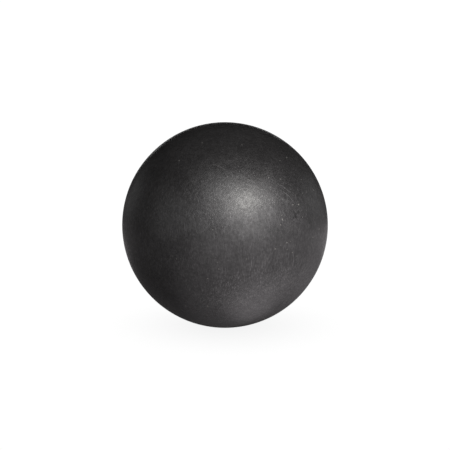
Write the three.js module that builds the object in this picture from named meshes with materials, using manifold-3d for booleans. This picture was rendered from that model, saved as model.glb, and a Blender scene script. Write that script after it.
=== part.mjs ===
// Case opening friction ball: a hollow, air-filled ball of soft grippy rubber. A watchmaker presses it
// on a screwed case back, where its wall flattens and holds by friction, and turns.
// Two moulded half shells are cemented at the seam. The rear one holds the needle valve: a flanged
// housing cemented through the wall, with a soft plug in it that closes again behind the needle.
// Millimetres, +Z up. The mould axis lies along Y: the working side faces -Y and the valve +Y. The
// origin is on the bench, at the middle of the small flat that the ball's own weight presses on it.
import * as THREE from "three";
import { mergeVertices } from "three/addons/utils/BufferGeometryUtils.js";
import Module from "manifold-3d";

const wasm = await Module();
wasm.setup();

// Ball
const ballDiameter = 65;
const wallThickness = 6;
const restFlatRadius = 3.5;

// Cured cement, the same skin at the seam and round the valve
const cementThickness = 0.3;
const beadHalfWidth = 1.2;
const beadHeight = 0.9;

// Valve housing
const spigotRadius = 4.5;
const flangeRadius = 10;
const flangeThickness = 1.8;
const flangeEdge = 0.8;
const tailRadius = 4.1;
const tailRound = 0.9;
const outletRadius = 1;
const outletLength = 3.6;
const lipLength = 1.2;

// Mouth of the valve in the rear half shell
const mouthRound = 0.4;
const mouthRecess = 0.6;

// Plug
const plugRadius = 2.6;
const plugLength = 8;
const neckRadius = 1.9;
const plugClearance = 0.05;
const guideRadius = 0.8;
const guideDepth = 2.6;

// Facets: the valve's pieces have half as many sides as the shells, so they nest inside them
const shellSides = 64;
const valveSides = shellSides / 2;
const outerArcSteps = 20;
const innerArcSteps = 12;
const padArcSteps = 3;
const beadArcSteps = 6;
const roundSteps = 3;

// Worked out from the sizes above. Places along the mould axis are measured forward from the seam.
const outerRadius = ballDiameter / 2;
const innerRadius = outerRadius - wallThickness;
const cementRadius = innerRadius - cementThickness;
const seamHalf = cementThickness / 2;
const holeRadius = spigotRadius + cementThickness;
const mouthRadius = holeRadius + mouthRound;
const mouthEdge = -reachOfSphere(outerRadius, mouthRadius);
const valveFace = mouthEdge + mouthRecess;
const plugSeat = valveFace + lipLength;
const chamberEnd = plugSeat + plugLength + 2 * plugClearance;
const flangeTop = -reachOfSphere(cementRadius, spigotRadius) + flangeThickness;
const tailEnd = chamberEnd + outletLength;
const restHeight = reachOfSphere(outerRadius, restFlatRadius);

// How far a sphere's surface is from its middle plane, at a distance from its axis.
function reachOfSphere(sphereRadius, distance) {
  return Math.sqrt(sphereRadius ** 2 - distance ** 2);
}

// Points along a circle, from one angle to another, anticlockwise from the outward direction.
function arc(centre, radius, from, to, steps) {
  return Array.from({ length: steps + 1 }, (_, i) => {
    const angle = from + ((to - from) * i) / steps;
    return [centre[0] + radius * Math.cos(angle), centre[1] + radius * Math.sin(angle)];
  });
}

// Points along a sphere about the ball's centre, between two latitudes counted from the seam.
function meridian(sphereRadius, from, to, steps) {
  return arc([0, 0], sphereRadius, from, to, steps);
}

const latitudeAlongAxis = (sphereRadius, place) => Math.asin(place / sphereRadius);
const latitudeAtRadius = (sphereRadius, distance) => -Math.acos(distance / sphereRadius);
const mirrored = (points) => points.map(([distance, place]) => [distance, -place]).reverse();
const closed = (profile) => [...profile, profile[0]];

// A solid turned about the mould axis. The profile's points are [distance from the axis, place along
// it] and go anticlockwise, so that the faces point outwards.
function turned(sides, profile) {
  const points = profile.map(([distance, place]) => new THREE.Vector2(distance, place));
  return new THREE.LatheGeometry(points, sides).rotateZ(Math.PI);
}

function solidOf(geometry) {
  geometry.deleteAttribute("normal");
  geometry.deleteAttribute("uv");
  const merged = mergeVertices(geometry);
  const vertProperties = new Float32Array(merged.attributes.position.array);
  const triVerts = new Uint32Array(merged.index.array);
  return new wasm.Manifold(new wasm.Mesh({ numProp: 3, vertProperties, triVerts }));
}

// Takes off what the bench presses flat under the resting ball.
function pressedFlat(geometry) {
  const bench = new THREE.BoxGeometry(ballDiameter, ballDiameter, ballDiameter);
  bench.translate(0, 0, -restHeight - ballDiameter / 2);
  const { vertProperties, triVerts } = solidOf(geometry).subtract(solidOf(bench)).getMesh();
  const pressed = new THREE.BufferGeometry();
  pressed.setAttribute("position", new THREE.BufferAttribute(vertProperties, 3));
  pressed.setIndex(new THREE.BufferAttribute(triVerts, 1));
  pressed.computeVertexNormals();
  return pressed;
}

function named(name, geometry, material) {
  const mesh = new THREE.Mesh(geometry, material);
  mesh.name = name;
  return mesh;
}

const shellRubber = new THREE.MeshStandardMaterial({ color: 0x3c3b3c, roughness: 0.62, metalness: 0 });
const cementRubber = new THREE.MeshStandardMaterial({ color: 0x242424, roughness: 0.5, metalness: 0 });
const valveRubber = new THREE.MeshStandardMaterial({ color: 0x1c1c1d, roughness: 0.45, metalness: 0 });
const plugRubber = new THREE.MeshStandardMaterial({ color: 0x59564f, roughness: 0.55, metalness: 0 });

const pole = Math.PI / 2;
const seamOuter = latitudeAlongAxis(outerRadius, seamHalf);
const seamInner = latitudeAlongAxis(innerRadius, seamHalf);
const beadEdge = latitudeAlongAxis(innerRadius, beadHalfWidth);

// The stretch of the inner wall that the bead of cement lies on, in front of the seam.
const underBead = meridian(innerRadius, seamInner, beadEdge, 1);

// The stretch of the inner wall that the valve's cement lies on, from the hole outwards.
const holeEdge = latitudeAtRadius(innerRadius, holeRadius);
const padEdge = latitudeAtRadius(innerRadius, flangeRadius);
const padWall = meridian(innerRadius, holeEdge, padEdge, padArcSteps);

// The same stretch of the cement's other side, where the housing's flange lies.
const flangeStart = latitudeAtRadius(cementRadius, spigotRadius);
const flangeEnd = latitudeAtRadius(cementRadius, flangeRadius);
const flangeWall = meridian(cementRadius, flangeStart, flangeEnd, padArcSteps);

// Plain bowl, the half that is pressed on the watch.
function frontHalfShell() {
  const profile = [
    ...meridian(innerRadius, pole, beadEdge, innerArcSteps),
    ...underBead.slice(0, -1).reverse(),
    ...meridian(outerRadius, seamOuter, pole, outerArcSteps),
  ];
  return named("front_half_shell", pressedFlat(turned(shellSides, profile)), shellRubber);
}

// Bowl with the hole for the valve at its pole, rounded at the mouth.
function rearHalfShell() {
  const roundCentre = [mouthRadius, mouthEdge + mouthRound];
  const profile = closed([
    ...underBead.slice(0, -1).map(([distance, place]) => [distance, -place]),
    ...meridian(innerRadius, -beadEdge, padEdge, innerArcSteps),
    ...padWall.slice(0, -1).reverse(),
    ...arc(roundCentre, mouthRound, Math.PI, 1.5 * Math.PI, roundSteps),
    ...meridian(outerRadius, latitudeAtRadius(outerRadius, mouthRadius), -seamOuter, outerArcSteps).slice(1),
  ]);
  return named("rear_half_shell", pressedFlat(turned(shellSides, profile)), shellRubber);
}

// Skin between the two rims, with the bead that is squeezed out along the inside.
function seamCement() {
  const edge = underBead.at(-1);
  const bead = Array.from({ length: beadArcSteps - 1 }, (_, i) => {
    const turn = (Math.PI * (i + 1)) / beadArcSteps;
    return [edge[0] - beadHeight * Math.sin(turn), beadHalfWidth * Math.cos(turn)];
  });
  const rim = outerRadius * Math.cos(seamOuter);
  const profile = closed([[rim, -seamHalf], [rim, seamHalf], ...underBead, ...bead, ...mirrored(underBead)]);
  return named("seam_cement", pressedFlat(turned(shellSides, profile)), cementRubber);
}

// Skin round the housing's spigot and under its flange.
function valveCement() {
  const profile = closed([
    [spigotRadius, valveFace],
    [holeRadius, valveFace],
    ...padWall,
    ...[...flangeWall].reverse(),
  ]);
  return named("valve_cement", turned(valveSides, profile), cementRubber);
}

// Spigot through the wall, flange on the inside, and a tail that holds the plug.
function valveHousing() {
  const rim = flangeWall.at(-1);
  const tailCentre = [tailRadius - tailRound, tailEnd - tailRound];
  const profile = closed([
    [neckRadius + plugClearance, valveFace],
    [spigotRadius, valveFace],
    ...flangeWall,
    [rim[0], rim[1] + flangeEdge],
    [tailRadius, flangeTop],
    ...arc(tailCentre, tailRound, 0, pole, roundSteps),
    [outletRadius, tailEnd],
    [outletRadius, chamberEnd],
    [plugRadius + plugClearance, chamberEnd],
    [plugRadius + plugClearance, plugSeat],
    [neckRadius + plugClearance, plugSeat],
  ]);
  return named("valve_housing", turned(valveSides, profile), valveRubber);
}

// Soft stepped plug. Its guide hole is blind: the needle opens a slit beyond it, which closes again.
function valvePlug() {
  const foot = plugSeat + plugClearance;
  const top = foot + plugLength;
  const profile = [
    [0, valveFace + guideDepth],
    [guideRadius, valveFace],
    [neckRadius, valveFace],
    [neckRadius, foot],
    [plugRadius, foot],
    [plugRadius, top],
    [0, top],
  ];
  return named("valve_plug", turned(valveSides, profile), plugRubber);
}

const ball = new THREE.Group();
ball.add(frontHalfShell(), rearHalfShell(), seamCement());
ball.add(valveCement(), valveHousing(), valvePlug());
ball.position.z = restHeight;

export default ball;
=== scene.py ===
import math

import bmesh
import bpy
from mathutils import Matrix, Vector


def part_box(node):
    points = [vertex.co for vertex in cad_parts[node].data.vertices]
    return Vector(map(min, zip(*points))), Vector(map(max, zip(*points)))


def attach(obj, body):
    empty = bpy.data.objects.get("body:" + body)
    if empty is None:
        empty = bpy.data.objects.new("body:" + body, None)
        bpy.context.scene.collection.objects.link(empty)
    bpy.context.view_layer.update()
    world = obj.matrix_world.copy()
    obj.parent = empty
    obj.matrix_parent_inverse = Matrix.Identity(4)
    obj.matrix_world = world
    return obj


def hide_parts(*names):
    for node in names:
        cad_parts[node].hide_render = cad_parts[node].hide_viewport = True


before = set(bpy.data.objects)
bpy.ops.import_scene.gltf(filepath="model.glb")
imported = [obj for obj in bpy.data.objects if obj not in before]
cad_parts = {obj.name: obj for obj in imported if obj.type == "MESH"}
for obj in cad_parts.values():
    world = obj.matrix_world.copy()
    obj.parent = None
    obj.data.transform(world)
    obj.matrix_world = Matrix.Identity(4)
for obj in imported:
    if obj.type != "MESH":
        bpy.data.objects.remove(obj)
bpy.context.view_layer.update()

# ---------------------------------------------------------------------------------------------------
# Front half shell. The working side of the ball is a bowl of soft charcoal rubber with a 6 mm wall,
# pressed in a heated mould. Once the two halves are joined, the ball is buffed dull, so that it grips.
# ---------------------------------------------------------------------------------------------------
mm = 0.001
front_low, front_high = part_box("front_half_shell")
outer_radius = -front_low.y
centre_height = front_high.z - outer_radius
wall_thickness = 6 * mm
inner_radius = outer_radius - wall_thickness
cement_thickness = 0.3 * mm
rim_round = 0.14 * mm
pole = math.pi / 2

shell_sides = 320
outer_rings = 112
inner_rings = 28
corner_steps = 6
merge_distance = 0.001 * mm
crease_angle = math.radians(40)

# The relief that buffing leaves on the outer skin
relief_depth = 0.03 * mm
relief_size = 7 * mm
relief_seed = 3.0
relief_detail = 1.5
skin_thickness = 1 * mm


def arc(centre, radius, start, end, steps):
    """Points along a circle in the profile's plane, anticlockwise from the direction away from the axis."""
    angles = [start + (end - start) * i / steps for i in range(steps + 1)]
    return [(centre[0] + radius * math.cos(a), centre[1] + radius * math.sin(a)) for a in angles]


def along_sphere(radius, start, end, steps):
    """Points along a sphere about the ball's centre, between two latitudes counted from the seam."""
    return arc((0, 0), radius, start, end, steps)


def add_node(tree, kind, inputs=None, **settings):
    """Adds a node, sets its properties, and sets or links its inputs by name or number."""
    made = tree.nodes.new(kind)
    for setting, value in settings.items():
        setattr(made, setting, value)
    for socket, value in (inputs or {}).items():
        if isinstance(value, bpy.types.NodeSocket):
            tree.links.new(value, made.inputs[socket])
        else:
            made.inputs[socket].default_value = value
    return made


def maths(tree, operation, first, second=0.0, third=0.0):
    """The result of one operation on plain numbers or other nodes' outputs."""
    return add_node(tree, "ShaderNodeMath", {0: first, 1: second, 2: third}, operation=operation).outputs[0]


def vector_maths(tree, operation, first, second=(0.0, 0.0, 0.0), third=(0.0, 0.0, 0.0), scale=1.0):
    """The same for vectors. A length, a distance or a dot product comes out as a plain number."""
    inputs = {0: first, 1: second, 2: third, 3: scale}
    outputs = add_node(tree, "ShaderNodeVectorMath", inputs, operation=operation).outputs
    return outputs["Value" if operation in ("LENGTH", "DISTANCE", "DOT_PRODUCT") else "Vector"]


def turning_tree():
    """Geometry Nodes that turn a profile about the mould axis, like a lathe, with a shallow relief."""
    tree = bpy.data.node_groups.new("turned_about_mould_axis", "GeometryNodeTree")
    tree.interface.new_socket("Profile", in_out="INPUT", socket_type="NodeSocketGeometry")
    for name, kind in (
        ("Sides", "NodeSocketInt"),
        ("Profile Points", "NodeSocketInt"),
        ("Centre Height", "NodeSocketFloat"),
        ("Relief Depth", "NodeSocketFloat"),
        ("Relief Size", "NodeSocketFloat"),
        ("Relief Seed", "NodeSocketFloat"),
        ("Relief Above Radius", "NodeSocketFloat"),
        ("Merge Distance", "NodeSocketFloat"),
        ("Material", "NodeSocketMaterial"),
    ):
        tree.interface.new_socket(name, in_out="INPUT", socket_type=kind)
    tree.interface.new_socket("Piece", in_out="OUTPUT", socket_type="NodeSocketGeometry")
    given = tree.nodes.new("NodeGroupInput").outputs

    # A sheet of quads with one column for each side, wrapped round the axis
    columns = maths(tree, "ADD", given["Sides"], 1.0)
    sheet = add_node(tree, "GeometryNodeMeshGrid",
                     {"Vertices X": columns, "Vertices Y": given["Profile Points"]}).outputs["Mesh"]
    index = tree.nodes.new("GeometryNodeInputIndex").outputs[0]
    in_columns = maths(tree, "DIVIDE", maths(tree, "ADD", index, 0.5), given["Profile Points"])
    column = maths(tree, "FLOOR", in_columns)
    row = maths(tree, "SUBTRACT", index, maths(tree, "MULTIPLY", column, given["Profile Points"]))
    place = tree.nodes.new("GeometryNodeInputPosition").outputs[0]
    profile_point = add_node(tree, "GeometryNodeSampleIndex",
                             {"Geometry": given["Profile"], "Value": place, "Index": row},
                             data_type="FLOAT_VECTOR")
    point = add_node(tree, "ShaderNodeSeparateXYZ", {0: profile_point.outputs[0]}).outputs
    turn = maths(tree, "DIVIDE", maths(tree, "MULTIPLY", column, math.tau), given["Sides"])
    across = maths(tree, "MULTIPLY", point["X"], maths(tree, "SINE", turn))
    backward = maths(tree, "MULTIPLY", point["Y"], -1.0)
    upward = maths(tree, "MULTIPLY", point["X"], maths(tree, "COSINE", turn))
    wrapped = add_node(tree, "ShaderNodeCombineXYZ", {"X": across, "Y": backward, "Z": upward}).outputs[0]
    turned = add_node(tree, "GeometryNodeSetPosition", {"Geometry": sheet, "Position": wrapped}).outputs[0]
    joined = add_node(tree, "GeometryNodeMergeByDistance",
                      {"Geometry": turned, "Distance": given["Merge Distance"]}).outputs[0]

    # Where the buffing wheel has bitten, the outside is very slightly hollow
    seeded = add_node(tree, "ShaderNodeCombineXYZ", {"X": given["Relief Seed"]}).outputs[0]
    scaled = vector_maths(tree, "SCALE", place, scale=maths(tree, "DIVIDE", 1.0, given["Relief Size"]))
    unevenness = add_node(tree, "ShaderNodeTexNoise",
                          {"Vector": vector_maths(tree, "ADD", scaled, seeded), "Scale": 1.0,
                           "Detail": relief_detail}).outputs[0]
    from_centre = vector_maths(tree, "LENGTH", place)
    on_outside = maths(tree, "GREATER_THAN", from_centre, given["Relief Above Radius"])
    hollow = maths(tree, "MULTIPLY", maths(tree, "MULTIPLY", unevenness, on_outside), given["Relief Depth"])
    outward = vector_maths(tree, "NORMALIZE", place)
    inward = vector_maths(tree, "SCALE", outward, scale=maths(tree, "MULTIPLY", hollow, -1.0))
    uneven = add_node(tree, "GeometryNodeSetPosition", {"Geometry": joined, "Offset": inward}).outputs[0]

    # The ball's weight presses it flat on the bench, which is the plane z = 0
    lift = add_node(tree, "ShaderNodeCombineXYZ", {"Z": given["Centre Height"]}).outputs[0]
    raised = add_node(tree, "GeometryNodeSetPosition", {"Geometry": uneven, "Offset": lift}).outputs[0]
    here = add_node(tree, "ShaderNodeSeparateXYZ", {0: place}).outputs
    not_below = maths(tree, "MAXIMUM", here["Z"], 0.0)
    above_bench = add_node(tree, "ShaderNodeCombineXYZ", {"X": here["X"], "Y": here["Y"], "Z": not_below})
    pressed = add_node(tree, "GeometryNodeSetPosition",
                       {"Geometry": raised, "Position": above_bench.outputs[0]}).outputs[0]
    smooth = add_node(tree, "GeometryNodeSetShadeSmooth", {"Geometry": pressed}).outputs[0]
    real = add_node(tree, "GeometryNodeRealizeInstances", {"Geometry": smooth}).outputs[0]
    coated = add_node(tree, "GeometryNodeSetMaterial", {"Geometry": real, "Material": given["Material"]})
    add_node(tree, "NodeGroupOutput", {"Piece": coated.outputs[0]})
    return tree


lathe = turning_tree()


def turned_piece(name, profile, material, sides, depth=0.0):
    """A finished mesh turned from a profile of (distance from the axis, place in front of the seam)."""
    outline = bpy.data.meshes.new(name + "_profile")
    outline.from_pydata([(distance, forward, 0) for distance, forward in profile], [], [])
    draft = bpy.data.objects.new(name + "_draft", outline)
    bpy.context.scene.collection.objects.link(draft)
    modifier = draft.modifiers.new("turned", "NODES")
    modifier.node_group = lathe
    values = {
        "Sides": sides,
        "Profile Points": len(profile),
        "Centre Height": centre_height,
        "Relief Depth": depth,
        "Relief Size": relief_size,
        "Relief Seed": relief_seed,
        "Relief Above Radius": outer_radius - skin_thickness,
        "Merge Distance": merge_distance,
        "Material": material,
    }
    for socket in lathe.interface.items_tree:
        if socket.in_out == "INPUT" and socket.name in values:
            modifier[socket.identifier] = values[socket.name]
    evaluated = draft.evaluated_get(bpy.context.evaluated_depsgraph_get())
    mesh = bpy.data.meshes.new_from_object(evaluated)
    bpy.data.objects.remove(draft)
    bpy.data.meshes.remove(outline)

    whole = bmesh.new()
    whole.from_mesh(mesh)
    bmesh.ops.recalc_face_normals(whole, faces=whole.faces)
    whole.to_mesh(mesh)
    whole.free()
    mesh.materials.clear()
    mesh.materials.append(material)
    for face in mesh.polygons:
        face.material_index = 0
    mesh.name = name
    mesh.set_sharp_from_angle(angle=crease_angle)
    piece = bpy.data.objects.new(name, mesh)
    bpy.context.scene.collection.objects.link(piece)
    return piece


def new_material(name, **shader):
    """A material with its shader's constants set, its tree, its shader and its object coordinates."""
    material = bpy.data.materials.new(name)
    material.use_nodes = True
    tree = material.node_tree
    surface = tree.nodes["Principled BSDF"]
    for socket, value in shader.items():
        surface.inputs[socket.replace("_", " ")].default_value = value
    coordinates = tree.nodes.new("ShaderNodeTexCoord").outputs["Object"]
    return material, tree, surface, coordinates


def ramp(tree, value, low, high, to_low=0.0, to_high=1.0):
    """A smooth step of a value from one range to another."""
    return add_node(tree, "ShaderNodeMapRange",
                    {"Value": value, "From Min": low, "From Max": high, "To Min": to_low, "To Max": to_high},
                    interpolation_type="SMOOTHSTEP").outputs[0]


def noise(tree, coordinates, size, detail=2.0, roughness=0.5):
    """Noise whose blotches are about as wide as size."""
    return add_node(tree, "ShaderNodeTexNoise",
                    {"Vector": coordinates, "Scale": 1 / size, "Detail": detail,
                     "Roughness": roughness}).outputs[0]


def spread(tree, unevenness, low, high):
    """Stretches noise, nearly all of which lies between 0.3 and 0.7, over another range."""
    return ramp(tree, unevenness, 0.3, 0.7, low, high)


def blend(tree, share, first, second):
    """A colour between two others."""
    return add_node(tree, "ShaderNodeMix", {0: share, 6: first, 7: second}, data_type="RGBA").outputs[2]


def emboss(tree, surface, height, strength, depth):
    """Gives the surface a fine relief, as deep as depth where the height changes by 1."""
    bump = add_node(tree, "ShaderNodeBump", {"Height": height, "Strength": strength, "Distance": depth})
    tree.links.new(bump.outputs[0], surface.inputs["Normal"])


def from_ball_centre(tree, coordinates):
    """Coordinates counted from the centre of the ball."""
    return add_node(tree, "ShaderNodeMapping",
                    {"Vector": coordinates, "Location": (0, 0, -centre_height)}).outputs[0]


def towards(azimuth, elevation):
    """A direction from the ball's centre: azimuth 0 is forward, 90 is to the right, elevation is upward."""
    a, e = math.radians(azimuth), math.radians(elevation)
    return Vector((math.sin(a) * math.cos(e), -math.cos(a) * math.cos(e), math.sin(e)))


# The buffing wheel's hairlines run in five general directions and wander a little. They are strongest
# on the patch that is pressed on the watch backs most.
hairline_turns = ((0.3, 0.2, 0.0), (1.4, 0.5, 0.3), (0.8, 1.9, 0.7), (2.3, 0.9, 1.6), (1.1, 2.8, 2.2))
hairline_width = 0.3 * mm
hairline_length = 3.2 * mm
hairline_threshold = 0.61
hairline_softness = 0.08
wander_size = 11.1 * mm
wander_reach = 4 * mm
pressed_side = (0.35, -0.6, -0.72)
light_wear = 0.55
heavy_wear = 2.1


def hairlines(tree, bent, outward):
    """Long thin scratches that cross each other, on coordinates that are bent."""
    crossing = 0.0
    for turn in hairline_turns:
        squeeze = (1.0, 1.0, hairline_width / hairline_length)
        turned = add_node(tree, "ShaderNodeMapping", {"Vector": bent, "Rotation": turn, "Scale": squeeze})
        streaks = noise(tree, turned.outputs[0], hairline_width, detail=1.0)
        one_way = ramp(tree, streaks, hairline_threshold, hairline_threshold + hairline_softness)
        crossing = maths(tree, "ADD", one_way, crossing)
    pressed = vector_maths(tree, "DOT_PRODUCT", outward, pressed_side)
    return maths(tree, "MULTIPLY", crossing, ramp(tree, pressed, 0.66, 1.0, light_wear, heavy_wear))


# Curved scratches that a case back's edge has left where it slipped: azimuth, elevation and clockwise
# lean in degrees, length, and the radius of the curve
slips = (
    (38.7, 23.7, -43, 5.0 * mm, 9 * mm),
    (38.1, 27.9, -47, 4.5 * mm, 8 * mm),
    (-4.0, 42.0, -62, 5.0 * mm, 9 * mm),
    (160.0, 25.0, 30, 7.0 * mm, 12 * mm),
)
slip_width = 0.17 * mm


def slip_marks(tree, outward):
    """Each slip is a piece of a circle drawn on the ball about a hub beside it."""
    marks = 0.0
    for azimuth, elevation, lean, length, curve in slips:
        middle = towards(azimuth, elevation)
        across = middle.cross(Vector((0, 0, 1))).normalized()
        upward = across.cross(middle)
        sideways = across * math.cos(math.radians(lean)) + upward * math.sin(math.radians(lean))
        turn = curve / outer_radius
        hub = (middle * math.cos(turn) + sideways * math.sin(turn)).normalized()
        from_hub = maths(tree, "ARCCOSINE", vector_maths(tree, "DOT_PRODUCT", outward, hub))
        from_middle = maths(tree, "ARCCOSINE", vector_maths(tree, "DOT_PRODUCT", outward, middle))
        off_line = maths(tree, "ABSOLUTE", maths(tree, "SUBTRACT", from_hub, turn))
        on_line = ramp(tree, off_line, 0.0, slip_width / outer_radius, 1.0, 0.0)
        reach = length / outer_radius
        in_reach = ramp(tree, from_middle, 0.3 * reach, 0.5 * reach, 1.0, 0.0)
        marks = maths(tree, "ADD", maths(tree, "MULTIPLY", on_line, in_reach), marks)
    return marks


scuff_place = towards(42.4, 11.9)
scuff_radius = 3.2 * mm
pit_size = 0.9 * mm
pit_threshold = 0.5
pit_softness = 0.12


def scuff_pits(tree, coordinates, outward):
    """A scuff of small pits beside the slips, which are sunk in the relief and darkened with painted shade.
    """
    beside = vector_maths(tree, "DOT_PRODUCT", outward, scuff_place)
    scuffed = ramp(tree, beside, math.cos(scuff_radius / outer_radius), 1.0)
    uneven = noise(tree, coordinates, pit_size, detail=1.0)
    pitted = ramp(tree, uneven, pit_threshold, pit_threshold + pit_softness)
    return maths(tree, "MULTIPLY", scuffed, pitted)


# Grit and chalk cling to the soft rubber, most of all low on the right
grit_spacing = 1.7 * mm
grit_radius = 0.272 * mm
grit_pale = (0.13, 0.125, 0.115, 1)
faintest_grit = 0.1
palest_grit = 0.8
dusty_side = (0.85, -0.3, -0.4)
clean_chance = 0.12
dusty_chance = 1.0


def grit_specks(tree, coordinates, outward):
    """Pale specks of many sizes, and how pale each one is."""
    cells = add_node(tree, "ShaderNodeTexVoronoi", {"Vector": coordinates, "Scale": 1 / grit_spacing})
    lot = add_node(tree, "ShaderNodeSeparateColor", {0: cells.outputs["Color"]}).outputs
    dusty = vector_maths(tree, "DOT_PRODUCT", outward, dusty_side)
    chance = ramp(tree, dusty, -0.2, 0.9, clean_chance, dusty_chance)
    radius = maths(tree, "MULTIPLY", lot["Red"], grit_radius / grit_spacing)
    speck = maths(tree, "LESS_THAN", cells.outputs["Distance"], radius)
    grit = maths(tree, "MULTIPLY", speck, maths(tree, "LESS_THAN", lot["Green"], chance))
    paleness = ramp(tree, lot["Blue"], 0.0, 1.0, faintest_grit, palest_grit)
    return grit, maths(tree, "MULTIPLY", grit, paleness)


charcoal = (0.0130, 0.0126, 0.0128)
polish_tint = (1.0, 0.993, 0.996, 1.0)
rubber_index = 1.5
polish_level = 0.48
grain_size = 0.8 * mm
grain_depth = 0.028 * mm
blotch_size = 1.2 * mm
polish_size = 1.1 * mm
mottling_size = 8 * mm

# What each mark does at full strength to the rubber's colour and sheen, as a share of theirs, and to
# the height of its grain
hairline_colour, hairline_sheen, hairline_height = 0.35, 0.36, -0.5
slip_colour, slip_height = 2.2, -0.9
# The pits' darker colour is painted shade in their hollows
pit_painted_shade, pit_sheen, pit_height = -0.45, -0.35, -1.0
grit_dullness, grit_height = 0.25, 0.5


def buffed_rubber():
    """Charcoal rubber, buffed dull: fine grain, crossing hairlines, a little mottling, pale grit and painted
    shade in the pits.
    """
    material, tree, surface, coordinates = new_material(
        "buffed_charcoal_rubber", IOR=rubber_index, Specular_Tint=polish_tint)
    outward = vector_maths(tree, "NORMALIZE", from_ball_centre(tree, coordinates))
    wander = add_node(tree, "ShaderNodeTexNoise",
                      {"Vector": coordinates, "Scale": 1 / wander_size, "Detail": 1.0}).outputs["Color"]
    bent = vector_maths(tree, "MULTIPLY_ADD", wander, [wander_reach] * 3, coordinates)

    grain = noise(tree, coordinates, grain_size, detail=1.2)
    polish = noise(tree, bent, polish_size, detail=1.5, roughness=0.55)
    mottling = noise(tree, coordinates, mottling_size, detail=4.0, roughness=0.6)
    blotches = noise(tree, coordinates, blotch_size, detail=3.0, roughness=0.6)
    scratches = hairlines(tree, bent, outward)
    slipped = slip_marks(tree, outward)
    pits = scuff_pits(tree, coordinates, outward)
    grit, paleness = grit_specks(tree, coordinates, outward)


    # Colour: cloudy, flecked by the grain, paler where it is scratched, and darker in the pits, which is
    # painted shade in their hollows
    fleck = maths(tree, "MULTIPLY", spread(tree, blotches, 0.92, 1.08), spread(tree, mottling, 0.9, 1.1))
    fleck = maths(tree, "MULTIPLY", ramp(tree, grain, 0.25, 0.75, 0.88, 1.12), fleck)
    wear_and_pit_shade = maths(tree, "MULTIPLY_ADD", scratches, hairline_colour, 1.0)
    wear_and_pit_shade = maths(tree, "MULTIPLY_ADD", slipped, slip_colour, wear_and_pit_shade)
    # Painted shade: the colour is darkened in the pits
    wear_and_pit_shade = maths(tree, "MULTIPLY_ADD", pits, pit_painted_shade, wear_and_pit_shade)
    rubber = vector_maths(tree, "SCALE", charcoal, scale=maths(tree, "MULTIPLY", fleck, wear_and_pit_shade))
    tree.links.new(blend(tree, paleness, rubber, grit_pale), surface.inputs["Base Color"])

    # Sheen: the scratches catch a little more light, the pits less, and the grit is dull
    sheen = maths(tree, "MULTIPLY", fleck, maths(tree, "MULTIPLY_ADD", scratches, hairline_sheen, 1.0))
    sheen = maths(tree, "MULTIPLY", sheen, maths(tree, "MULTIPLY_ADD", pits, pit_sheen, 1.0))
    tree.links.new(maths(tree, "MULTIPLY", sheen, polish_level), surface.inputs["Specular IOR Level"])
    dullness = maths(tree, "ADD", spread(tree, polish, 0.315, 0.405), spread(tree, mottling, -0.02, 0.02))
    dullness = maths(tree, "MULTIPLY_ADD", grit, grit_dullness, dullness)
    tree.links.new(dullness, surface.inputs["Roughness"])

    # Relief: scratches, slips and pits are cut into the grain, and the grit stands on it
    height = maths(tree, "MULTIPLY_ADD", scratches, hairline_height, grain)
    height = maths(tree, "MULTIPLY_ADD", slipped, slip_height, height)
    height = maths(tree, "MULTIPLY_ADD", pits, pit_height, height)
    height = maths(tree, "MULTIPLY_ADD", grit, grit_height, height)
    emboss(tree, surface, height, 1.0, grain_depth)
    return material


shell_rubber = buffed_rubber()
seam_half = cement_thickness / 2
seam_start = math.asin((seam_half + rim_round) / (outer_radius - rim_round))
seam_inside = math.asin(seam_half / inner_radius)
rim_centre = ((outer_radius - rim_round) * math.cos(seam_start), seam_half + rim_round)
rim_corner = arc(rim_centre, rim_round, -pole, seam_start, corner_steps)
front_profile = [
    *along_sphere(inner_radius, pole, seam_inside, inner_rings),
    *rim_corner,
    *along_sphere(outer_radius, seam_start, pole, outer_rings)[1:],
]
front_half = turned_piece("front_half", front_profile, shell_rubber, shell_sides, relief_depth)
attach(front_half, "root")
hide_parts("front_half_shell")

# ---------------------------------------------------------------------------------------------------
# Rear half shell. The other bowl, of the same rubber from a mould with a core: it has the hole for the
# valve at its pole, with a rounded mouth, and round that the faint ring that the core's edge leaves.
# ---------------------------------------------------------------------------------------------------
hole_radius = 4.8 * mm
mouth_round = 0.4 * mm
witness_radius = 8.6 * mm
witness_width = 0.5 * mm
witness_reach = 3 * witness_width
witness_depth = 0.06 * mm
witness_steps = 48
mouth_steps = 8
rear_outer_rings = 92
mouth_radius = hole_radius + mouth_round
mouth_edge = -math.sqrt(outer_radius ** 2 - mouth_radius ** 2)
mouth_latitude = -math.acos(mouth_radius / outer_radius)
ring_latitude = -math.acos((witness_radius + witness_reach) / outer_radius)


def with_witness_ring(point):
    """Sinks a point of the outer skin where the ring of the mould's core runs."""
    distance, forward = point
    off = (distance - witness_radius) / witness_width
    keep = 1 - witness_depth / outer_radius * math.exp(-8 * off ** 2)
    return (distance * keep, forward * keep)


near_mouth = along_sphere(outer_radius, mouth_latitude, ring_latitude, witness_steps)[1:]
rear_profile = [
    *[(distance, -forward) for distance, forward in reversed(rim_corner)],
    *along_sphere(inner_radius, -seam_inside, -math.acos(hole_radius / inner_radius), inner_rings),
    *arc((mouth_radius, mouth_edge + mouth_round), mouth_round, math.pi, 1.5 * math.pi, mouth_steps),
    *[with_witness_ring(point) for point in near_mouth],
    *along_sphere(outer_radius, ring_latitude, -seam_start, rear_outer_rings)[1:],
]
rear_half = turned_piece("rear_half", rear_profile, shell_rubber, shell_sides, relief_depth)
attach(rear_half, "root")
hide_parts("rear_half_shell")

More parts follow.
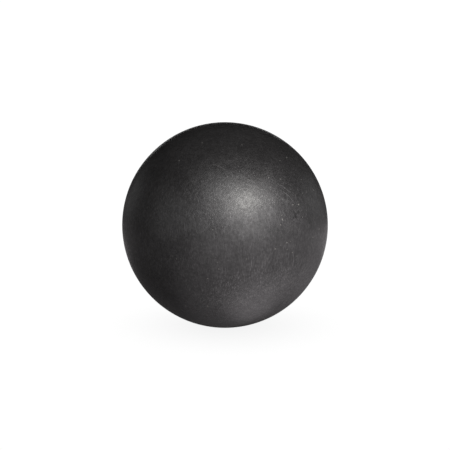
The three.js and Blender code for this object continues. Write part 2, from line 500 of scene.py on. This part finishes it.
# ---------------------------------------------------------------------------------------------------
# Seam cement. Black rubber cement joins the two rims and is cured with them. It shows as a hairline
# round the ball, buffed a touch lower than the rubber, and stands as a bead along the inside.
# ---------------------------------------------------------------------------------------------------
cement_recess = 0.05 * mm
cement_crown = 0.04 * mm
bead_half_width = 1.2 * mm
bead_height = 0.9 * mm
bead_steps = 16
bead_root_steps = 4
cement_black = (0.006, 0.006, 0.006, 1)
cement_worn = (0.014, 0.0135, 0.013, 1)
brush_streak = 0.5 * mm
bubble_spacing = 0.7 * mm
bubble_depth = 0.02 * mm


def cured_cement():
    """Black rubber cement with a satin skin, brush streaks and tiny bubbles."""
    material, tree, surface, coordinates = new_material("cured_black_cement", IOR=rubber_index)
    streaks = noise(tree, coordinates, brush_streak, detail=3.0, roughness=0.7)
    colour = blend(tree, spread(tree, streaks, 0.0, 1.0), cement_black, cement_worn)
    tree.links.new(colour, surface.inputs["Base Color"])
    tree.links.new(spread(tree, streaks, 0.38, 0.55), surface.inputs["Roughness"])
    bubbles = add_node(tree, "ShaderNodeTexVoronoi", {"Vector": coordinates, "Scale": 1 / bubble_spacing})
    emboss(tree, surface, ramp(tree, bubbles.outputs["Distance"], 0.0, 0.35), 0.6, bubble_depth)
    return material


cement = cured_cement()
bead_edge = math.asin(bead_half_width / inner_radius)
under_bead = along_sphere(inner_radius, seam_inside, bead_edge, bead_root_steps)
bead_root = under_bead[-1][0]
bead_turns = [math.pi * step / bead_steps for step in range(1, bead_steps)]
cement_rim = outer_radius - cement_recess
seam_profile = [
    (cement_rim - cement_crown, -seam_half),
    (cement_rim, 0),
    (cement_rim - cement_crown, seam_half),
    *under_bead,
    *[(bead_root - bead_height * math.sin(a), bead_half_width * math.cos(a)) for a in bead_turns],
    *[(distance, -forward) for distance, forward in reversed(under_bead)],
    (cement_rim - cement_crown, -seam_half),
]
seam_line = turned_piece("seam_cement_line", seam_profile, cement, shell_sides, relief_depth)
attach(seam_line, "root")
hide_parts("seam_cement")

# ---------------------------------------------------------------------------------------------------
# Valve housing. A black moulded rubber body is pushed in from the inside before the halves are joined:
# its spigot fills the hole, its flange is cemented to the inner wall, and its tail holds the plug.
# ---------------------------------------------------------------------------------------------------
spigot_radius = 4.5 * mm
mouth_recess = 0.6 * mm
lip_length = 1.2 * mm
edge_round = 0.2 * mm
flange_radius = 10 * mm
flange_thickness = 1.8 * mm
flange_edge = 0.8 * mm
flange_round = 0.3 * mm
flange_steps = 24
tail_radius = 4.1 * mm
tail_round = 0.9 * mm
tail_fillet = 0.6 * mm
tail_steps = 12
fillet_steps = 8
outlet_radius = 1 * mm
outlet_length = 3.6 * mm
plug_radius = 2.6 * mm
plug_length = 8 * mm
plug_clearance = 0.05 * mm
neck_radius = 1.9 * mm
valve_sides = 128
housing_black = (0.009, 0.009, 0.0092, 1)
housing_worn = (0.017, 0.0168, 0.0165, 1)
skin_grain = 0.3 * mm
cloud_size = 2.5 * mm
tool_mark_pitch = 2 * mm
tool_mark_depth = 0.012 * mm


def moulded_rubber():
    """Black moulded rubber with a satin skin and the faint rings of a turned mould."""
    material, tree, surface, coordinates = new_material("moulded_black_rubber", IOR=rubber_index)
    skin = noise(tree, coordinates, skin_grain, detail=3.0, roughness=0.6)
    cloud = noise(tree, coordinates, cloud_size)
    rings = add_node(tree, "ShaderNodeTexWave",
                     {"Vector": from_ball_centre(tree, coordinates), "Scale": 1 / tool_mark_pitch,
                      "Distortion": 0.4, "Detail": 1.0},
                     wave_type="RINGS", rings_direction="Y").outputs[1]
    colour = blend(tree, spread(tree, cloud, 0.0, 1.0), housing_black, housing_worn)
    tree.links.new(colour, surface.inputs["Base Color"])
    tree.links.new(spread(tree, skin, 0.3, 0.46), surface.inputs["Roughness"])
    emboss(tree, surface, maths(tree, "MULTIPLY_ADD", rings, 0.5, skin), 0.8, tool_mark_depth)
    return material


valve_face = mouth_edge + mouth_recess
plug_seat = valve_face + lip_length
chamber_end = plug_seat + plug_length + 2 * plug_clearance
tail_end = chamber_end + outlet_length
bore = neck_radius + plug_clearance
chamber = plug_radius + plug_clearance
cement_radius = inner_radius - cement_thickness
flange_top = -math.sqrt(cement_radius ** 2 - spigot_radius ** 2) + flange_thickness
flange_start = -math.acos(spigot_radius / cement_radius)
flange_end = -math.acos(flange_radius / cement_radius)
flange_wall = along_sphere(cement_radius, flange_start, flange_end, flange_steps)
flange_rim, flange_foot = flange_wall[-1]
housing_profile = [
    *arc((bore + edge_round, valve_face + edge_round), edge_round, math.pi, 1.5 * math.pi, corner_steps),
    *arc((spigot_radius - edge_round, valve_face + edge_round), edge_round, -pole, 0, corner_steps),
    *flange_wall,
    *arc((flange_rim - flange_round, flange_foot + flange_edge - flange_round), flange_round,
         0, pole, corner_steps),
    *arc((tail_radius + tail_fillet, flange_top + tail_fillet), tail_fillet,
         1.5 * math.pi, math.pi, fillet_steps),
    *arc((tail_radius - tail_round, tail_end - tail_round), tail_round, 0, pole, tail_steps),
    (outlet_radius, tail_end),
    (outlet_radius, chamber_end),
    (chamber, chamber_end),
    (chamber, plug_seat),
    (bore, plug_seat),
    (bore, valve_face + edge_round),
]
housing = turned_piece("valve_housing_body", housing_profile, moulded_rubber(), valve_sides)
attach(housing, "root")
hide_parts("valve_housing")

# ---------------------------------------------------------------------------------------------------
# Valve cement. A skin of the same black cement, brushed on round the spigot and under the flange. Its
# ring shows between the ball's mouth and the housing, sunk a little where it shrank as it cured.
# ---------------------------------------------------------------------------------------------------
middle_shrink = 0.12 * mm
spigot_shrink = 0.04 * mm
mouth_shrink = 0.02 * mm
under_flange = along_sphere(inner_radius, -math.acos(hole_radius / inner_radius),
                            -math.acos(flange_radius / inner_radius), flange_steps)
skin_profile = [
    (spigot_radius, valve_face + spigot_shrink),
    (spigot_radius + cement_thickness / 2, valve_face + middle_shrink),
    (hole_radius, valve_face + mouth_shrink),
    *under_flange,
    *reversed(flange_wall),
    (spigot_radius, valve_face + spigot_shrink),
]
valve_skin = turned_piece("valve_cement_skin", skin_profile, cement, valve_sides)
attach(valve_skin, "root")
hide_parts("valve_cement")

# ---------------------------------------------------------------------------------------------------
# Valve plug. Soft grey gum rubber, stepped so that the housing's lip holds it. A pump needle enters the
# flared guide hole and pushes through a slit, and the rubber closes behind it.
# ---------------------------------------------------------------------------------------------------
guide_radius = 0.8 * mm
guide_depth = 2.6 * mm
guide_flare = 0.8
plug_round = 0.25 * mm
gum_grey = (0.05, 0.047, 0.042, 1)
gum_dusty = (0.11, 0.104, 0.092, 1)
dust_size = 0.5 * mm
dust_depth = 0.02 * mm


def gum_rubber():
    """Soft grey gum rubber, dull and dusty."""
    material, tree, surface, coordinates = new_material("soft_grey_gum_rubber", IOR=rubber_index)
    dust = noise(tree, coordinates, dust_size, detail=4.0, roughness=0.7)
    colour = blend(tree, ramp(tree, dust, 0.35, 0.7), gum_grey, gum_dusty)
    tree.links.new(colour, surface.inputs["Base Color"])
    tree.links.new(spread(tree, dust, 0.5, 0.72), surface.inputs["Roughness"])
    emboss(tree, surface, dust, 0.7, dust_depth)
    return material


plug_foot = plug_seat + plug_clearance
plug_top = plug_foot + plug_length
guide_end = valve_face + guide_depth
guide_wall = [(guide_radius * share ** guide_flare, guide_end - guide_depth * share)
              for share in (0.2, 0.4, 0.6, 0.8, 0.92)]
plug_face = valve_face + plug_round
shoulder = plug_radius - plug_round
plug_profile = [
    (0, guide_end),
    *guide_wall,
    *arc((guide_radius + plug_round, plug_face), plug_round, math.pi, 1.5 * math.pi, corner_steps),
    *arc((neck_radius - plug_round, plug_face), plug_round, -pole, 0, corner_steps),
    (neck_radius, plug_foot),
    *arc((shoulder, plug_foot + plug_round), plug_round, -pole, 0, corner_steps),
    *arc((shoulder, plug_top - plug_round), plug_round, 0, pole, corner_steps),
    (0, plug_top),
]
plug = turned_piece("needle_plug", plug_profile, gum_rubber(), valve_sides)
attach(plug, "root")
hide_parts("valve_plug")

# ---------------------------------------------------------------------------------------------------
# Bench and backdrop. A white bench top with no visible end runs into a white room. The bench lights the
# ball only in soft pools, and towards the front of the room, where no lamp shines, it turns pale grey.
# ---------------------------------------------------------------------------------------------------
bench_radius = 6.0
bench_sides = 96
seen_white = 1.05
seen_grey = 0.62
grey_start = 0.07
grey_end = 0.42
side_heading = -0.15
front_heading = -0.7
contact_shade = 0.16
bench_glow = 0.1
room_glow = 0.01
pool_tint = (1.0, 0.95, 0.975, 1)
white = (1, 1, 1, 1)

# Glowing pools that no lamp makes, laid on the bench to light the ball from below: across, backward, reach
# and brightness. The places and reaches were chosen one by one. Most brightnesses, and bench_glow, were not:
# they are the rounded answers of a least-squares program.
pools = (
    (0.015, -0.027, 0.013, 0.8),
    (0.030, -0.030, 0.016, 0.3),
    (0.045, -0.045, 0.030, 0.3),
    (0.000, -0.050, 0.030, 0.43),
    (0.060, 0.000, 0.030, 0.25),
    (0.120, 0.120, 0.080, 0.35),
    (0.200, -0.100, 0.150, 0.8),
    (0.050, -0.300, 0.200, 1.3),
    (0.250, 0.050, 0.120, 0.25),
    (0.000, 0.120, 0.070, 0.6),
    (-0.150, 0.100, 0.100, 0.1),
)


def towards_front(tree, direction):
    """How far a direction points to the front of the room, from 0 to 1."""
    heading = vector_maths(tree, "NORMALIZE", vector_maths(tree, "MULTIPLY", direction, (1, 1, 0)))
    backward = add_node(tree, "ShaderNodeSeparateXYZ", {0: heading}).outputs["Y"]
    return ramp(tree, backward, side_heading, front_heading)


def bench_paint():
    """A bench that looks white, with a faint shade close under the ball, and glows in soft pools."""
    material = bpy.data.materials.new("bench_white")
    material.use_nodes = True
    tree = material.node_tree
    tree.nodes.clear()
    place = tree.nodes.new("ShaderNodeTexCoord").outputs["Object"]
    from_ball = vector_maths(tree, "DISTANCE", place, (0, 0, 0))

    # A sphere of radius r that rests on the bench hides 1 / (1 + (d / r)^2)^1.5 of the room at distance d
    far = maths(tree, "DIVIDE", from_ball, outer_radius)
    hidden = maths(tree, "POWER", maths(tree, "MULTIPLY_ADD", far, far, 1.0), -1.5)
    shade = maths(tree, "MULTIPLY_ADD", hidden, -contact_shade, 1.0)
    greying = ramp(tree, from_ball, grey_start, grey_end, 0.0, seen_grey - seen_white)
    plain = maths(tree, "MULTIPLY_ADD", greying, towards_front(tree, place), seen_white)
    seen = maths(tree, "MULTIPLY", plain, shade)

    glow = bench_glow
    for across, backward, reach, brightness in pools:
        from_pool = vector_maths(tree, "DISTANCE", place, (across, backward, 0))
        pool = ramp(tree, from_pool, 0.5 * reach, 1.5 * reach, brightness, 0.0)
        glow = maths(tree, "ADD", pool, glow)
    to_camera = tree.nodes.new("ShaderNodeLightPath").outputs["Is Camera Ray"]
    strength = add_node(tree, "ShaderNodeMix", {0: to_camera, 2: glow, 3: seen}).outputs[0]
    light = add_node(tree, "ShaderNodeEmission",
                     {"Color": blend(tree, to_camera, pool_tint, white), "Strength": strength}).outputs[0]
    add_node(tree, "ShaderNodeOutputMaterial", {"Surface": light})
    return material


bench_mesh = bpy.data.meshes.new("bench_top")
bench_corners = [math.tau * side / bench_sides for side in range(bench_sides)]
bench_mesh.from_pydata([(bench_radius * math.cos(a), bench_radius * math.sin(a), 0) for a in bench_corners],
                       [], [list(range(bench_sides))])
bench_mesh.materials.append(bench_paint())
bench = bpy.data.objects.new("bench_top", bench_mesh)
bpy.context.scene.collection.objects.link(bench)

world = bpy.data.worlds.new("studio")
bpy.context.scene.world = world
world.use_nodes = True
room = world.node_tree
room.nodes.clear()
room_glows = add_node(room, "ShaderNodeBackground", {"Strength": room_glow}).outputs[0]
in_front = towards_front(room, room.nodes.new("ShaderNodeTexCoord").outputs["Generated"])
backdrop = add_node(room, "ShaderNodeMix", {0: in_front, 2: seen_white, 3: seen_grey}).outputs[0]
room_seen = add_node(room, "ShaderNodeBackground", {"Color": white, "Strength": backdrop}).outputs[0]
seen_or_lit = room.nodes.new("ShaderNodeLightPath").outputs["Is Camera Ray"]
whole_room = add_node(room, "ShaderNodeMixShader", {0: seen_or_lit, 1: room_glows, 2: room_seen}).outputs[0]
add_node(room, "ShaderNodeOutputWorld", {"Surface": whole_room})

# ---------------------------------------------------------------------------------------------------
# Lights and camera. One soft key lamp hangs in front, above on the right, with wide dim light round it,
# and dim cards stand round the ball. The camera looks at the ball from the front and a little above.
# The lights' places and sizes were chosen one by one. Most of the cards' strengths are close to the answers
# of a least-squares program, and the key and its spill started from them.
# ---------------------------------------------------------------------------------------------------
ball_centre = Vector((0, 0, centre_height))
light_distance = 0.75
camera_elevation = 10
camera_distance = 0.396


def facing_ball(thing, azimuth, elevation, distance):
    """Puts a thing round the ball and turns it to the ball."""
    thing.location = ball_centre + distance * towards(azimuth, elevation)
    thing.rotation_euler = (-towards(azimuth, elevation)).to_track_quat("-Z", "Y").to_euler()


def soft_light(name, azimuth, elevation, width, height, radiance, colour=(1, 1, 1)):
    """A flat soft light that faces the ball and doesn't show itself."""
    lamp = bpy.data.lights.new(name, "AREA")
    lamp.shape = "RECTANGLE"
    lamp.size = width
    lamp.size_y = height
    lamp.energy = radiance * math.pi * width * height
    lamp.color = colour
    light = bpy.data.objects.new(name, lamp)
    bpy.context.scene.collection.objects.link(light)
    facing_ball(light, azimuth, elevation, light_distance)
    light.visible_camera = False


soft_light("key", 28, 34, 0.24, 0.22, 15.1, (1.0, 0.995, 0.94))
soft_light("key_spill", 28, 25, 1.0, 0.8, 3.08, (1.0, 0.975, 0.985))
soft_light("key_card", 26, 30, 0.75, 0.35, 0.9)
soft_light("upper_card", -2, 54, 0.4, 0.28, 2.1)
soft_light("left_front_card", -25, 18, 0.3, 0.6, 1.1)
soft_light("left_card", -60, 14, 0.5, 0.5, 0.45)
soft_light("left_rear_card", -132, 5, 0.4, 0.3, 0.22)
soft_light("rear_card", 182, 2, 0.35, 0.16, 1.1)
soft_light("right_card", 78, 14, 0.35, 0.45, 1.04, (1.0, 0.96, 0.98))
soft_light("right_rear_card", 114, 8, 0.65, 0.32, 0.4)

lens = bpy.data.cameras.new("camera")
lens.lens = 100
lens.sensor_width = 36
lens.clip_start = 0.01
camera = bpy.data.objects.new("camera", lens)
bpy.context.scene.collection.objects.link(camera)
facing_ball(camera, 0, camera_elevation, camera_distance)
bpy.context.scene.camera = camera
bpy.context.scene.view_settings.view_transform = "Standard"
